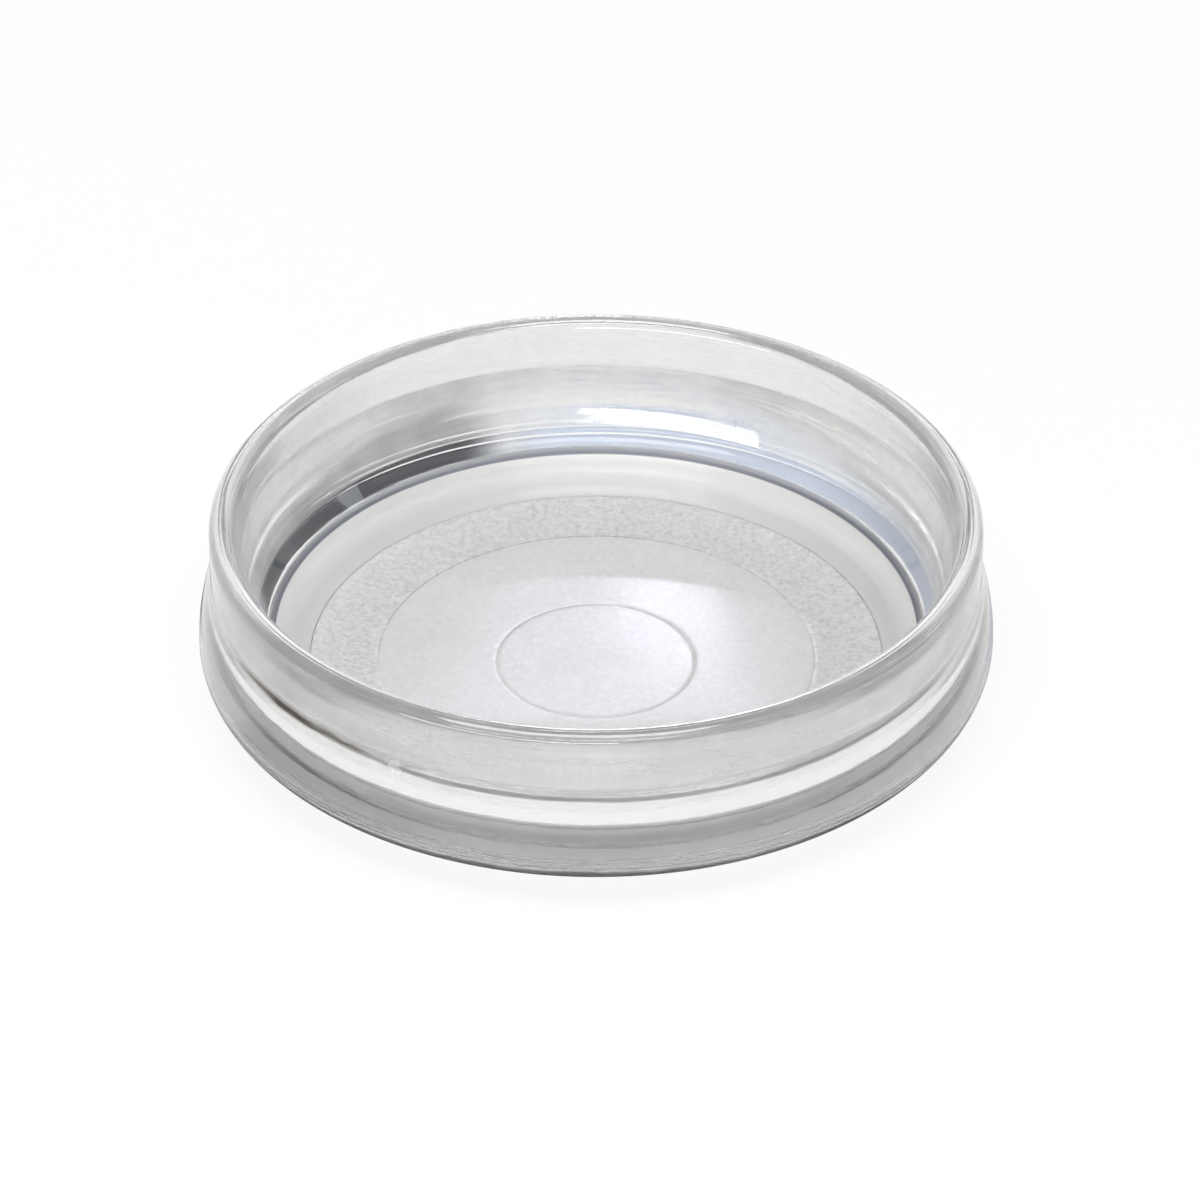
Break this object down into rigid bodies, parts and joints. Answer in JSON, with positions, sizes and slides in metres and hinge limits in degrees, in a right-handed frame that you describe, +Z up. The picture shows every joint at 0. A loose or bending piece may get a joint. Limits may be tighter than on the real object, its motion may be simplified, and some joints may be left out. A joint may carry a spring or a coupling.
{
  "type": "caster cup",
  "caption": "Clear round caster cup with a bulged foot, a frosted grip disc on its dished floor and a non-slip ring underneath, for a furniture wheel or leg to stand in.",
  "frame": {"origin": "centre of the cup, on the surface that its base ring stands on", "axes": "+Z up the cup's axis, out of its mouth; the cup is round, so X and Y are any two square directions"},
  "size_m": [0.065, 0.065, 0.0158],
  "materials": {
    "clear_plastic": "clear, polished, slightly grey, with fine moulding streaks",
    "frosted_vinyl": "clear with a fine frosted grain and raised ring lines",
    "soft_ring": "hazy clear, matt"
  },
  "bodies": {
    "root": {"cup_body": "clear_plastic", "grip_disc": "frosted_vinyl", "base_ring": "soft_ring"}
  },
  "joints": []
}
